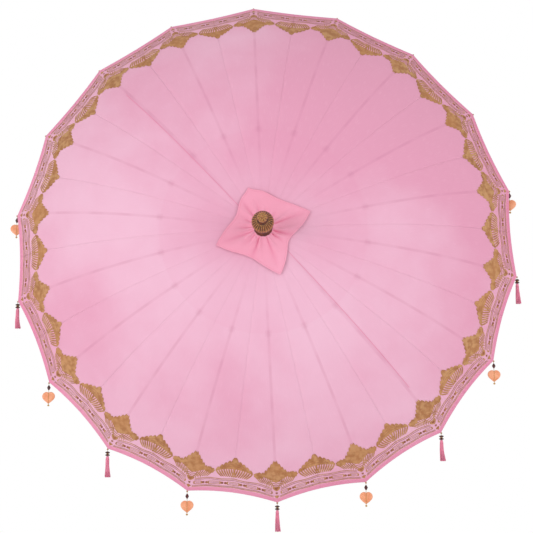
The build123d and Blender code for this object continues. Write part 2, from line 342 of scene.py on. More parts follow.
def paint_gold():
    """Hand-brushed gold paint: uneven, slightly worn, with darker brush edges."""
    n = Nodes("gold_paint")
    place = n.coordinates()
    brush = n.noise(place, 55, 4)
    coarse = n.noise(place, 7, 2)
    colour = n.mix(n.range(brush, 0.35, 0.65), linear(172, 116, 72), linear(204, 154, 106))
    colour = n.mix(n.range(coarse, 0.4, 0.62, 0.0, 0.45), colour, linear(196, 136, 86))
    worn = n.range(n.noise(place, 420, 3), 0.66, 0.78, 0.0, 0.35)
    n.colour(n.mix(worn, colour, linear(232, 168, 184)))
    n.bump(brush, 0.0003, 0.4)
    n.join(n.range(coarse, 0.3, 0.7, 0.42, 0.6), n.shader.inputs["Roughness"])
    n.set(Metallic=0.25, Specular_IOR_Level=0.4)
    return n.material


def paint_dark():
    """The darker bronze of the dots and of the fine outlines."""
    n = Nodes("bronze_paint")
    place = n.coordinates()
    brush = n.range(n.noise(place, 90, 3), 0.35, 0.65)
    n.colour(n.mix(brush, linear(142, 78, 58), linear(176, 112, 78)))
    n.bump(n.noise(place, 300, 2), 0.0002, 0.3)
    n.set(Roughness=0.55, Metallic=0.15)
    return n.material


def wood(name, light, dark, along, gloss=0.42):
    """Turned or split wood with long grain along one axis of the frame, under varnish."""
    n = Nodes(name)
    place = n.coordinates()
    stretch = tuple(0.06 if axis == along else 1.0 for axis in "XYZ") if along else (1, 1, 1)
    grain = n.noise(place, 170, 5, stretch)
    tone = n.noise(place, 8, 2, stretch)
    colour = n.mix(n.range(grain, 0.34, 0.66), dark, light)
    colour = n.mix(n.range(tone, 0.35, 0.65, 0.0, 0.4), colour, tuple(0.75 * c for c in dark))
    n.colour(colour)
    n.bump(grain, 0.0004, 0.35)
    n.join(n.range(grain, 0.3, 0.7, gloss - 0.06, gloss + 0.12), n.shader.inputs["Roughness"])
    n.set(Coat_Weight=0.15, Coat_Roughness=0.3)
    return n.material


def gilded():
    """Gold rubbed over dark red-brown carving: gold on what stands out, brown in the grooves."""
    n = Nodes("gilded_carving")
    place = n.coordinates()
    raised = n.add("ShaderNodeAttribute", attribute_name="raised").outputs["Fac"]
    rub = n.noise(place, 120, 4)
    amount = n.math("ADD", raised, n.math("MULTIPLY", n.math("SUBTRACT", rub, 0.5), 0.4))
    amount = n.range(amount, 0.32, 0.68)
    brown = n.mix(n.range(n.noise(place, 60, 3), 0.4, 0.6), linear(70, 30, 18), linear(108, 50, 28))
    gold = n.mix(n.range(n.noise(place, 200, 3), 0.35, 0.65), linear(158, 108, 60), linear(204, 154, 94))
    n.colour(n.mix(amount, brown, gold))
    n.join(n.math("MULTIPLY", amount, 0.5), n.shader.inputs["Metallic"])
    n.join(n.range(rub, 0.3, 0.7, 0.32, 0.52), n.shader.inputs["Roughness"])
    n.bump(rub, 0.0008, 0.45)
    return n.material


def metal(name, colour, dark):
    n = Nodes(name)
    place = n.coordinates()
    n.colour(n.mix(n.range(n.noise(place, 40, 4), 0.35, 0.68), colour, dark))
    n.join(n.range(n.noise(place, 500, 2), 0.3, 0.7, 0.24, 0.42), n.shader.inputs["Roughness"])
    n.bump(n.noise(place, 300, 2), 0.0002, 0.3)
    n.set(Metallic=0.95)
    return n.material


def lacquer(name, light, dark, scale=60, roughness=0.3):
    """Painted or lacquered small pieces, with a little unevenness."""
    n = Nodes(name)
    place = n.coordinates()
    n.colour(n.mix(n.range(n.noise(place, scale, 3), 0.35, 0.65), light, dark))
    uneven = n.noise(place, scale * 3, 2)
    n.join(n.range(uneven, 0.3, 0.7, roughness, roughness + 0.15), n.shader.inputs["Roughness"])
    n.bump(n.noise(place, scale * 6, 3), 0.0003, 0.35)
    n.set(Coat_Weight=0.25, Coat_Roughness=0.25)
    return n.material


def yarn(name, light, dark, metallic=0.0):
    """Twisted thread with fine diagonal strands."""
    n = Nodes(name)
    place = n.coordinates()
    strand = n.noise(place, 900, 2, (1, 1, 0.15))
    tone = n.noise(place, 70, 3)
    colour = n.mix(n.range(strand, 0.35, 0.65), dark, light)
    n.colour(n.mix(n.range(tone, 0.4, 0.65, 0.0, 0.3), colour, dark))
    n.bump(strand, 0.0004, 0.5)
    n.join(n.range(strand, 0.3, 0.7, 0.5, 0.75), n.shader.inputs["Roughness"])
    n.set(Metallic=metallic, Sheen_Weight=0.3)
    return n.material


CANOPY = cotton("canopy_cotton", linear(243, 193, 215), linear(233, 162, 190), ribs=True)
HEM_CLOTH = cotton("hem_cotton", linear(240, 158, 188), linear(232, 140, 174), hem=True)
# The cap's cloth carries painted shade in each fold.
CAP_CLOTH = cotton("cap_cotton", linear(250, 172, 198), linear(246, 160, 186), fold_shades=True)
GOLD_PAINT = paint_gold()
BRONZE_PAINT = paint_dark()
RIB_WOOD = wood("rib_bamboo", linear(214, 168, 110), linear(170, 118, 66), None)
STRUT_WOOD = wood("strut_bamboo", linear(206, 158, 100), linear(160, 108, 60), None)
POLE_WOOD = wood("pole_wood", linear(176, 112, 66), linear(124, 70, 38), "Y", 0.36)
HUB_WOOD = wood("hub_wood", linear(132, 82, 48), linear(84, 46, 26), "Y")
BRASS = metal("brass", linear(222, 178, 96), linear(160, 116, 52))
GILDED = gilded()
DARK_BEAD = lacquer("dark_bead", linear(92, 30, 28), linear(58, 16, 18), 90, 0.22)
HEART_PAINT = lacquer("heart_shell", linear(246, 172, 130), linear(236, 152, 108), 45, 0.34)
GOLD_THREAD = yarn("gold_thread", linear(226, 186, 110), linear(168, 122, 58), 0.35)
PINK_THREAD = yarn("pink_thread", linear(246, 156, 182), linear(228, 118, 152))


# ---------------------------------------------------------------- the cloth's surface


def hem_radius(angle):
    """The scalloped hem: full radius at a rib, an arc bent inward between two ribs."""
    chord = RADIUS * sin(HALF_GORE)
    dip = RADIUS * cos(HALF_GORE) - SCALLOP
    bend = (chord ** 2 + dip ** 2) / (2 * dip)
    away = SCALLOP + bend
    side = abs(HALF_GORE - abs(angle))
    root = away * cos(side)
    return root - math.sqrt(max(bend ** 2 - (away * sin(side)) ** 2, 0)) - 0.0025


def height(radius):
    return APEX - RISE * (radius / RADIUS) ** 3


STEPS = 2000
ARC = [0.0]
for step in range(STEPS):
    r_before, r_after = step * 1.01 / STEPS, (step + 1) * 1.01 / STEPS
    ARC.append(ARC[-1] + math.hypot(r_after - r_before, height(r_after) - height(r_before)))


def arc_to(radius):
    """Length along the cloth from its top to a radius."""
    place = radius / 1.01 * STEPS
    low = min(int(place), STEPS - 1)
    return ARC[low] + (ARC[low + 1] - ARC[low]) * (place - low)


def radius_at(arc):
    low, high = 0.0, 1.01
    for _ in range(22):
        middle = (low + high) / 2
        if arc_to(middle) < arc:
            low = middle
        else:
            high = middle
    return low


def on_cloth(number, angle, radius, lift=0.0):
    """A point on the cloth, at an angle from a rib, lifted off it to the outside."""
    share = 1 - abs(1 - abs(angle) / HALF_GORE)
    tuck = 0.05 * max(0, abs(angle) / HALF_GORE - 1)
    across = sin(pi / 2 * share) ** 1.2
    along = sin(pi * min(radius, 1.0) ** 1.4) ** 0.8
    dip = SAG * across * along
    slope = math.atan(3 * RISE * radius ** 2)
    out = lift - dip - tuck
    r = radius + out * sin(slope)
    turn = rib_angle(number) + angle
    return polar(r, turn, height(radius) + out * cos(slope))


# Columns of a gore's mesh as shares of the way to its side, close together over the rib. The
# last one tucks under the next gore.
SHARES = [0, 0.018, 0.04, 0.07, 0.11, 0.17, 0.25, 0.35, 0.46, 0.58, 0.70, 0.80, 0.90, 0.965, 1.012]
COLUMNS = [-c * HALF_GORE for c in reversed(SHARES[1:])] + [c * HALF_GORE for c in SHARES]
HEM_ROWS = [0, 0.0015, 0.006, 0.012, 0.018, HEM]
ROWS_ABOVE = 46


def skin_rows(number, skin):
    """One skin of a gore, from its hem inward: rows of points, each with its two texture places."""
    way = 1 if skin == 0 else -1
    top = CROWN - 0.003
    rows = []
    for index in range(len(HEM_ROWS) + ROWS_ABOVE):
        row = []
        for angle in COLUMNS[::way]:
            edge = arc_to(hem_radius(angle))
            if index < len(HEM_ROWS):
                arc = edge - HEM_ROWS[index]
                puff = 0.0005 * sin(pi * HEM_ROWS[index] / HEM)
            else:
                share = (index - len(HEM_ROWS) + 1) / ROWS_ABOVE
                arc = top + (edge - HEM - top) * (1 - share)
                puff = 0
            radius = radius_at(arc)
            point = on_cloth(number, angle, radius, skin + way * puff)
            row.append((point, (radius * angle, radius), (radius * angle, edge - arc)))
        rows.append(row)
    return rows


def edge_steps(height_rows, width):
    """Neighbouring places, as (row, column) pairs, all the way round a grid's edge."""
    last = width - 1
    steps = [((0, j + 1), (0, j)) for j in range(last)]
    steps += [((height_rows - 1, j), (height_rows - 1, j + 1)) for j in range(last)]
    steps += [((i, 0), (i + 1, 0)) for i in range(height_rows - 1)]
    steps += [((i + 1, last), (i, last)) for i in range(height_rows - 1)]
    return steps


def gore(number):
    """The cloth over one rib, half way to its neighbours: an outer and an inner skin, and a hem."""
    shape = Shape()
    cloth_uv, hem_uv = [], []
    for skin in (0.0, -CLOTH):
        rows = skin_rows(number, skin)
        shape.grid([[point for point, _, _ in row] for row in rows])
        cloth_uv += [place for row in rows for _, place, _ in row]
        hem_uv += [place for row in rows for _, _, place in row]
    width = len(COLUMNS)
    inner = len(shape.points) // 2
    skin_faces = len(shape.faces) // 2
    hem_faces = (width - 1) * (len(HEM_ROWS) - 1)
    slots = [1 if face % skin_faces < hem_faces else 0 for face in range(2 * skin_faces)]
    strips = edge_steps(len(HEM_ROWS) + ROWS_ABOVE, width)
    for start, end in strips:
        outer_pair = [i * width + j for i, j in (start, end)]
        inner_pair = [inner + i * width + width - 1 - j for i, j in (end, start)]
        shape.faces.append((*outer_pair, *inner_pair))
        slots.append(1 if start[0] < len(HEM_ROWS) - 1 and end[0] < len(HEM_ROWS) else 0)
    made = piece(
        f"gore_{number:02d}", shape.points, shape.faces, [CANOPY, HEM_CLOTH], f"rib_{number:02d}",
        {"cloth": cloth_uv, "hem": hem_uv}, slots,
    )
    smooth = [True] * (2 * skin_faces) + [False] * len(strips)
    made.data.polygons.foreach_set("use_smooth", smooth)
    return made


# ---------------------------------------------------------------- the painted border


class Paint:
    """Brushwork on one gore, drawn in metres: across from a centre line, and up from the hem."""

    def __init__(self, number):
        self.number = number
        self.shape = Shape()

    def place(self, across, up, centre=0, lift=PAINT_LIFT):
        """centre is 0 at the rib, -1 or 1 half way to a neighbour, where across runs inward."""
        near = 0.9
        angle = 0.0
        for _ in range(2):
            angle = across / near if centre == 0 else centre * (HALF_GORE - across / near)
            near = radius_at(arc_to(hem_radius(angle)) - up)
        return on_cloth(self.number, angle, near, lift)

    def stroke(self, path, width, centre=0, slot=0, taper=True):
        """A brush stroke along a path, thinner at its ends."""
        rows = [[], []]
        last = len(path) - 1
        for i, (x, y) in enumerate(path):
            x0, y0 = path[max(i - 1, 0)]
            x1, y1 = path[min(i + 1, last)]
            long = math.hypot(x1 - x0, y1 - y0) or 1
            share = sin(pi * (0.12 + 0.76 * i / last)) ** 0.6 if taper else 1
            w = width / 2 * share
            nx, ny = -(y1 - y0) / long * w, (x1 - x0) / long * w
            for side, row in zip((1, -1), rows):
                across = x + side * nx
                row.append(self.place(max(across, 0) if centre else across, y + side * ny, centre))
        self.shape.grid(rows, slot=slot)

    def fill(self, left, right, low, high, centre=0, steps=40, layers=5, slot=0):
        """Everything between two curves, low(x) and high(x)."""
        rows = []
        for layer in range(layers + 1):
            row = []
            for i in range(steps + 1):
                x = left + (right - left) * i / steps
                bottom, top = low(x), high(x)
                row.append(self.place(x, bottom + (max(top, bottom) - bottom) * layer / layers, centre))
            rows.append(row)
        self.shape.grid(rows, slot=slot)

    def dot(self, x, y, wide, tall, centre=0, slot=0, corners=10):
        ring = []
        for a in angles(corners):
            ring.append(self.place(x + wide * cos(a), y + tall * sin(a), centre))
        self.shape.grid([ring, [self.place(x, y, centre)] * corners], closed=True, slot=slot)

    def blob(self, x, y, radius, corners=54):
        """A filled outline about a middle; radius is a function of the angle, 0 towards +x."""
        rows = []
        for share in (0.01, 0.5, 1.0):
            row = []
            for a in angles(corners):
                r = share * radius(a)
                row.append(self.place(x + r * cos(a), y + r * sin(a)))
            rows.append(row)
        self.shape.grid(rows, closed=True)


def fan(paint, centre):
    """Half of the fan half way between two ribs: a scalloped, pointed top over a comb."""
    half, foot = 0.071, 0.0745

    def top(x):
        crown = 0.104 + 0.044 * (1 - (x / half) ** 1.4)
        bumps = 0.008 * abs(sin(x * pi / 0.0142)) ** 0.7
        peak = 0.014 * max(0, 1 - x / 0.012)
        return crown + bumps + peak

    def bottom(x):
        return 0.112 - 0.012 * (x / half) ** 2

    paint.fill(0, half, bottom, top, centre, steps=70)
    teeth = 8
    for k in range(teeth):
        x = 0.003 + (half - 0.006) * k / (teeth - 1)
        bend = 0.010 + 0.012 * x / half
        path = []
        for i in range(9):
            t = i / 8
            across = x - bend * (1 - t) ** 1.6
            path.append((abs(across), foot + (bottom(x) + 0.005 - foot) * t))
        paint.stroke(path, 0.0056, centre)
    for offset in (0.012, 0.022):
        arc = []
        for i in range(15):
            t = i / 14
            arc.append((0.002 + (half - 0.020) * t, 0.112 + offset - (offset + 0.003) * t ** 2))
        paint.stroke(arc, 0.0013, centre, slot=1)


def palmette(paint):
    """The crown over a rib: a serrated spear, lobed wings, arcs, an oval and a small diamond."""
    spread, shoulder = 0.060, 0.054

    def spear(x):
        rise = 0.088 * max(0, 1 - abs(x) / shoulder) ** 1.3
        teeth = 0.010 * abs(sin(x * pi / 0.0108)) ** 0.8 if abs(x) > 0.004 else 0
        return 0.111 + rise + teeth

    def under(x):
        return 0.098 + 0.16 * abs(x)

    paint.fill(-spread, spread, under, spear, steps=96, layers=7)
    for side in (-1, 1):
        for x, up, size in ((0.058, 0.108, 0.0130), (0.070, 0.101, 0.0125)):
            paint.blob(side * x, up, lambda a: size * (1 + 0.10 * cos(7 * a)), 28)
        teeth = 7
        for k in range(teeth):
            x = 0.024 + 0.050 * k / (teeth - 1)
            low = 0.0745
            high = 0.106 - 0.10 * (x - 0.024)
            path = []
            for i in range(9):
                t = i / 8
                path.append((side * (x - 0.016 * (1 - t) ** 1.6), low + (high - low) * t))
            paint.stroke(path, 0.0046)
    for ring in range(3):
        size = 0.020 + 0.0085 * ring
        arc = []
        for i in range(19):
            a = radians(6 + 168 * i / 18)
            arc.append((size * cos(a), 0.064 + size * sin(a)))
        paint.stroke(arc, 0.0030)
    paint.dot(0, 0.068, 0.0145, 0.0105, corners=24)
    paint.dot(0, 0.068, 0.0070, 0.0045, corners=16, slot=1)
    paint.dot(0, 0.0290, 0.0095, 0.0085, corners=4)
    paint.dot(0, 0.0470, 0.0045, 0.0045, slot=1)


def lines(paint):
    """The lines that follow the hem, with long cartouches and pairs of dots between them."""
    reach = 0.158

    def line(up, width, start, stop, centre, slot=0, wave=0.0):
        steps = max(6, int(40 * (stop - start) / reach))
        path = []
        for i in range(steps + 1):
            x = start + (stop - start) * i / steps
            path.append((x, up + wave * sin(x * TAU / 0.11 + 2.2)))
        paint.stroke(path, width, centre, slot, taper=False)

    for centre in (-1, 1):
        line(0.0245, 0.0032, 0.0, reach, centre, wave=0.0012)
        line(0.0295, 0.0016, 0.0, reach, centre, slot=1, wave=0.0012)
        line(0.0580, 0.0020, 0.0, reach - 0.008, centre, slot=1, wave=0.0022)
        line(0.0645, 0.0032, 0.0, reach - 0.010, centre, wave=0.0026)
        for start, stop in ((0.0, 0.022), (0.050, 0.094), (0.122, 0.150)):
            line(0.0365, 0.0023, start, stop, centre)
            line(0.0495, 0.0023, start, stop, centre)
            line(0.0430, 0.0014, start, max(stop - 0.006, start + 0.01), centre, slot=1)
            paint.dot(stop + 0.0005, 0.0430, 0.0030, 0.0070, centre)
            if start > 0:
                paint.dot(start - 0.0005, 0.0430, 0.0030, 0.0070, centre)
        for x in (0.0295, 0.0425, 0.1015, 0.1145):
            paint.dot(x, 0.0430, 0.0052, 0.0056, centre, slot=1)


def border(number):
    paint = Paint(number)
    lines(paint)
    fan(paint, -1)
    fan(paint, 1)
    palmette(paint)
    return paint.shape.make(f"border_{number:02d}", [GOLD_PAINT, BRONZE_PAINT], f"rib_{number:02d}")


def seam(number):
    """The straight seam that crosses the canopy over one pair of opposite ribs."""
    paint = Paint(number)
    rows = [[], []]
    start, end = 0.06, 0.79
    for i in range(61):
        radius = start + (end - start) * i / 60
        for row, across in zip(rows, (0.0075, 0.0098)):
            row.append(on_cloth(number, across / radius, radius, 0.0011))
    paint.shape.grid(rows)
    return paint.shape.make(f"seam_{number:02d}", [HEM_CLOTH], f"rib_{number:02d}")


def fold(thing):
    """Gives a piece of cloth or paint its own copy of its mesh."""
    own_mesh(thing)


def build_crown():
    """A small disc of the canopy's cloth, tacked to the top of the hub under the cap."""
    around = 72
    rows, pairs = [], []
    for lift, radii in ((0.0009, (CROWN, 0.030, TOP_HOLE)), (-0.0003, (TOP_HOLE, 0.030, CROWN))):
        for radius in radii:
            rows.append([polar(radius, a, height(radius) + lift) for a in angles(around)])
            pairs += [(radius * cos(a), radius * sin(a)) for a in angles(around)]
    rows.append(rows[0])
    pairs.extend(pairs[:around])
    shape = Shape()
    shape.grid(rows, closed=True)
    places = {"cloth": pairs, "hem": pairs}
    crown = piece("crown_cloth", shape.points, shape.faces, [CANOPY], "pole", places)
    return crown


def build_canopy():
    crown = build_crown()
    for number in range(1, RIBS + 1):
        cloth = gore(number)
        painted = border(number)
        extra = [seam(number)] if number in (8, 17) else []
        for thing in (cloth, painted, *extra):
            fold(thing)
    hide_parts("canopy")


# ---------------------------------------------------------------- cap and finial


# Each deep fold of the cap: its direction in degrees as seen from the finial, its half width
# in degrees, its depth, and the share of the way to the cap's edge that it reaches.
CAP_FOLDS = (
    (-111, 7, 0.0075, 1.0), (-70, 8, 0.0060, 0.8), (-34, 6, 0.0080, 0.7), (-14, 7, 0.0085, 1.0),
    (22, 6, 0.0065, 0.9), (52, 9, 0.0045, 0.5), (78, 8, 0.0040, 0.5), (104, 7, 0.0050, 0.6),
    (128, 6, 0.0065, 0.9), (153, 7, 0.0050, 0.8), (178, 6, 0.0055, 0.7), (-161, 8, 0.0060, 0.9),
    (-138, 7, 0.0045, 0.6),
)
CAP_HOLLOWS = (0.006, 0.020, 0.012, 0.026)   # of its sides, from the upper one around to the left


def cap_edge(a):
    """The cap's outline: a square with hollow sides, its corners at 0, 90, 180 and 270 degrees."""
    quarter = a % (pi / 2) - pi / 4
    straight = CAP_CORNER / math.sqrt(2) / cos(quarter)
    hollow = CAP_HOLLOWS[int(a // (pi / 2)) % 4] * cos(2 * quarter) ** 2
    folded_corner = 0.020 * max(0, cos(a - pi / 2)) ** 40
    return min(straight - hollow, CAP_CORNER * 0.995) - folded_corner


def cap_lift(turn, share):
    """How far the cap stands off the canopy, from its neck (share 0) to its edge (share 1)."""
    neck = NECK_RISE * max(0, 1 - share * 2.4) ** 2
    pleats = 0.0
    for direction, half, depth, reach in CAP_FOLDS:
        off = (math.degrees(turn) - direction + 180) % 360 - 180
        along = max(0, 1 - share / (1.15 * reach))
        narrow = half * (0.55 + 0.75 * share)
        valley = math.exp(-(off / narrow) ** 2)
        ridge = math.exp(-((off - 1.5 * narrow) / narrow) ** 2)
        pleats += 1.4 * depth * along ** 0.8 * (ridge - 0.65 * valley) * min(1, 0.30 + 4 * share)
    fine = 0.0009 * sin(47 * turn) * max(0, 1 - share * 3)
    edge = 0.0030 * share ** 3 * (0.5 + 0.5 * sin(5 * turn + 0.6))
    return max(0.0023, neck + 0.0042 + pleats + fine + edge)


def cap_shadow(turn, share):
    """How deep in a fold a place on the cap is, 0 to 1; the cloth is painted darker there as shade."""
    deepest = 0.0
    for direction, half, depth, reach in CAP_FOLDS:
        off = (math.degrees(turn) - direction + 180) % 360 - 180
        along = max(0, 1 - share / (1.15 * reach))
        narrow = half * (0.35 + 0.55 * share)
        deepest = max(deepest, depth / 0.0085 * along ** 0.7 * math.exp(-(off / narrow) ** 2))
    return deepest


def cap_place(a, share, lift=0.0):
    """A point on the cap, at an angle from its first corner, and its flat (across, up) place."""
    turn = a + TURN
    r = CAP_NECK + (cap_edge(a) - CAP_NECK) * share ** 1.1
    up = height(r) + cap_lift(turn, share) + lift
    return polar(r, turn, up), (r * cos(a), r * sin(a))


def cap_sheet(around, steps):
    """The square of cloth, pleated at its gathered neck."""
    rows, pairs, fold_shades = [], [], []
    for i in range(steps + 1):
        share = i / steps
        row = []
        for a in angles(around):
            point, flat = cap_place(a, share)
            row.append(point)
            pairs.append(flat)
            fold_shades.append(cap_shadow(a + TURN, share))
        rows.append(row)
    shape = Shape()
    shape.grid(rows, closed=True)
    places = {"cloth": pairs, "hem": pairs}
    cloth = piece("cap_cloth", shape.points, shape.faces, [CAP_CLOTH], "pole", places)
    # The fold attribute carries the painted shade of each fold of the cap.
    cloth.data.attributes.new("fold", "FLOAT", "POINT").data.foreach_set("value", fold_shades)
    thick = cloth.modifiers.new("cloth", "SOLIDIFY")
    thick.thickness = CLOTH
    thick.offset = 0.0
    return cloth


def cap_stitch(around):
    """The line of stitches along the cap's folded hem."""
    path = []
    for k in range(around + 1):
        a = TAU * k / around
        inset = 0.0075 / (cap_edge(a) - CAP_NECK)
        path.append(cap_place(a, (1 - inset) ** (1 / 1.1), 0.0006)[0])
    hem = Shape()
    hem.tube(path, [0.0004] * len(path), 5)
    return hem.make("cap_hem_stitch", [PINK_THREAD], "pole")


def cap_collar():
    """The rolled, gathered edge of the cloth round the foot of the finial."""
    path, radii = [], []
    for k in range(145):
        a = TAU * k / 144
        path.append(polar(0.0350, a, FINIAL_BASE - 0.0006))
        radii.append(0.0030 + 0.0004 * sin(36 * a) + 0.0003 * sin(23 * a))
    roll = Shape()
    roll.tube(path, radii, 12)
    pairs = [(p[0], p[2]) for p in roll.points]
    places = {"cloth": pairs, "hem": pairs}
    return piece("cap_collar", roll.points, roll.faces, [CAP_CLOTH], "pole", places)


def build_cap():
    """The square of cloth under the finial, its stitched hem and its gathered collar."""
    around = 432
    cloth = cap_sheet(around, 40)
    stitch = cap_stitch(around)
    collar = cap_collar()


BALL_MIDDLE, BALL_RADIUS = 0.094, 0.041
KNOB_MIDDLE, KNOB_RADIUS = 0.170, 0.019
FLUTED = -1               # marks the ball's stretch of the profile


def finial_profile():
    """The finial from its foot up, as (radius, height, how much gold it carries)."""
    collar = [
        (0.012, -0.012, 0), (0.034, 0.0002, 0), (0.0355, 0.003, 0.2), (0.0358, 0.006, 0.55),
        (0.0350, 0.009, 0.3), (0.0345, 0.013, 0.1), (0.030, 0.0155, 0.0), (0.029, 0.018, 0.0),
        (0.0308, 0.021, 0.4), (0.0312, 0.024, 0.6), (0.0300, 0.028, 0.3), (0.028, 0.032, 0.1),
        (0.022, 0.036, 0.0), (0.0205, 0.041, 0.1), (0.0212, 0.046, 0.5), (0.0190, 0.050, 0.1),
    ]
    neck = [
        (0.0200, 0.131, 0.0), (0.0226, 0.1335, 0.5), (0.0222, 0.136, 0.5), (0.0160, 0.139, 0.0),
        (0.0130, 0.143, 0.1), (0.0122, 0.149, 0.2), (0.0140, 0.153, 0.5),
    ]
    point = [(0.0064, 0.190, 0.5), (0.0050, 0.194, 0.8), (0.0030, 0.199, 0.8), (0.0001, 0.2015, 0.8)]
    ball, knob = [], []
    for k in range(33):
        a = radians(28 + 122 * k / 32)
        ball.append((BALL_RADIUS * sin(a), BALL_MIDDLE - BALL_RADIUS * cos(a), FLUTED))
    for k in range(15):
        a = radians(50 + 105 * k / 14)
        knob.append((KNOB_RADIUS * sin(a), KNOB_MIDDLE - KNOB_RADIUS * cos(a), 0.85))
    return collar + ball + neck + knob + point


def carve(radius, rise, gold, a):
    """Radius and gold after carving, at an angle: slits on the ball, petals, swirls on the knob."""
    if gold == FLUTED:
        slit = (1 - abs(cos(13 * a))) ** 1.2
        shoulders = sum(math.exp(-((rise - place) / 0.008) ** 2) for place in (0.072, 0.119))
        line = math.exp(-((rise - BALL_MIDDLE) / 0.0012) ** 2)
        radius -= 0.0030 * shoulders * slit + 0.0008 * slit + 0.0008 * line
        return radius, 0.62 - 0.75 * min(1, shoulders) * slit - 0.15 * slit - 0.3 * line
    if rise < 0.012 or 0.015 < rise < 0.03:
        petal = 0.5 + 0.5 * cos(14 * a)
        if radius > 0.02:
            radius -= 0.0012 * (1 - petal)
        return radius, gold * petal
    if 0.150 < rise < 0.19:
        swirl = 0.5 + 0.5 * cos(10 * a + (rise - 0.15) * 90)
        return radius - 0.0006 * (1 - swirl), gold * (0.55 + 0.45 * swirl)
    return radius, gold


def build_finial():
    """Collar, fluted ball, neck and knob, carved, with gold on what stands out."""
    rows, raised = [], []
    for radius, rise, gold in finial_profile():
        row = []
        for a in angles(192):
            r, amount = carve(radius, rise, gold, a)
            raised.append(amount)
            row.append(polar(r, a, FINIAL_BASE + rise))
        rows.append(row)
    shape = Shape()
    shape.grid(rows, closed=True)
    made = shape.make("finial_carved", [GILDED], "pole")
    made.data.attributes.new("raised", "FLOAT", "POINT").data.foreach_set("value", raised)
    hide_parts("finial")


# ---------------------------------------------------------------- hearts and tassels


NOSE_GAP = 0.0044         # top of an ornament's CAD node below the middle of the rib's nose


def ornament(number):
    """Its CAD node's name, the middle of the rib's nose, and how far below it the beads start."""
    heart = number % 2 == 1
    name = f"heart_{number:02d}" if heart else f"tassel_{number:02d}"
    low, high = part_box(name)
    nose = Vector(((low[0] + high[0]) / 2, (low[1] + high[1]) / 2, high[2] + NOSE_GAP))
    below_drop = 0.0825 if heart else 0.101
    return name, nose, nose[2] - low[2] - below_drop


def spiral_thread(shape, nose, end, slot):
    """Two strands twisted together, from the nose's loop to a distance below the nose."""
    turns = (end - NOSE_GAP) / 0.0045
    for half in (0, pi):
        path = []
        for i in range(41):
            t = i / 40
            a = half + TAU * turns * t
            down = NOSE_GAP + (end - NOSE_GAP) * t
            path.append((nose[0] + 0.0006 * cos(a), nose[1] + 0.0006 * sin(a), nose[2] - down))
        shape.tube(path, [0.0006] * 41, 6, slot)


def heart_outline(steps=64):
    """The leaf's outline, as (across, below its highest point) pairs."""
    line = []
    for a in angles(steps):
        x = 0.0242 * sin(a) ** 3 + 0.0008 * sin(a)
        y = 13 * cos(a) - 2.4 * cos(2 * a) - 1.6 * cos(3 * a) - 0.5 * cos(4 * a)
        line.append((x, 0.00189 * (10.8 - y)))
    return line


def add_leaf(shape, x0, y0, high):
    """The heart's two crowned faces, each with a gold stem and raised veins."""
    middle = 0.020
    skins = (
        (1.0, 0.0), (0.985, 0.0010), (0.93, 0.00145), (0.72, 0.0017), (0.4, 0.0019), (0.02, 0.0019),
    )
    outline = heart_outline()
    for face in (-1, 1):
        rows = []
        for share, thick in skins:
            y = y0 + face * thick
            row = []
            for x, down in outline:
                row.append((x0 + x * share, y, high - middle - (down - middle) * share))
            rows.append(row)
        shape.grid(rows, closed=True, slot=2)
        stem = [(x0, y0 + face * 0.0021, high - 0.0045 - 0.041 * i / 10) for i in range(11)]
        shape.tube(stem, [0.0009] * 11, 6, 0)
        for k in range(4):
            for side in (-1, 1):
                vein = []
                for i in range(7):
                    t = i / 6
                    x = x0 + side * (0.0175 - 0.0022 * k) * t
                    y = y0 + face * (0.0020 - 0.0003 * t)
                    vein.append((x, y, high - 0.0145 - 0.0080 * k + 0.0065 * t))
                shape.tube(vein, [0.0003] * 7, 5, 2)


def build_heart(number):
    """Gold thread, a faceted dark bead, a thin heart-shaped leaf with a gold stem, a gold bead."""
    name, nose, drop = ornament(number)
    shape = Shape()
    spiral_thread(shape, nose, drop + 0.031, 0)
    bead = [
        (0.0002, 0), (0.0025, 0.0012), (0.0068, 0.0093), (0.0070, 0.0107), (0.0026, 0.0188),
        (0.0002, 0.020),
    ]
    shape.lathe((nose[0], nose[1], nose[2] - drop), bead, 8, 1)
    high = nose[2] - drop - 0.0265
    add_leaf(shape, nose[0], nose[1], high)
    foot = high - 0.0470
    shape.lathe((nose[0], nose[1], foot), [(0.0006, 0), (0.0016, 0.0008), (0.0006, 0.0020)], 10, 0)
    end_bead = [(0.0002, 0), (0.0028, 0.0009), (0.0042, 0.0036), (0.0038, 0.0060), (0.0002, 0.0078)]
    shape.lathe((nose[0], nose[1], foot - 0.0012), end_bead, 16, 0)
    made = shape.make(f"charm_{number:02d}", [GOLD_THREAD, DARK_BEAD, HEART_PAINT], name)
    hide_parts(name)


def add_skirt(shape, number, x0, y0, start):
    """Cut threads that hang from start, a little to one side at the bottom."""
    dice = random.Random(number)
    strands = 130
    sway = 0.0028 + 0.0008 * sin(number)
    for k in range(strands):
        a = 2.399963 * k      # the golden angle spreads them evenly
        spread = math.sqrt((k + 0.5) / strands)
        length = 0.0705 + dice.uniform(-0.0045, 0.0)
        wave = dice.uniform(0, 6.28)
        path = []
        for i in range(9):
            t = i / 8
            r = spread * (0.0060 + 0.0050 * t ** 1.5)
            ripple = 0.0004 * sin(6 * t + wave)
            x = x0 + r * cos(a) + ripple + sway * t ** 2.2
            path.append((x, y0 + 0.9 * r * sin(a) + ripple, start - length * t))
        shape.tube(path, [0.00095 * (1 - 0.3 * i / 8) for i in range(9)], 4, 2)


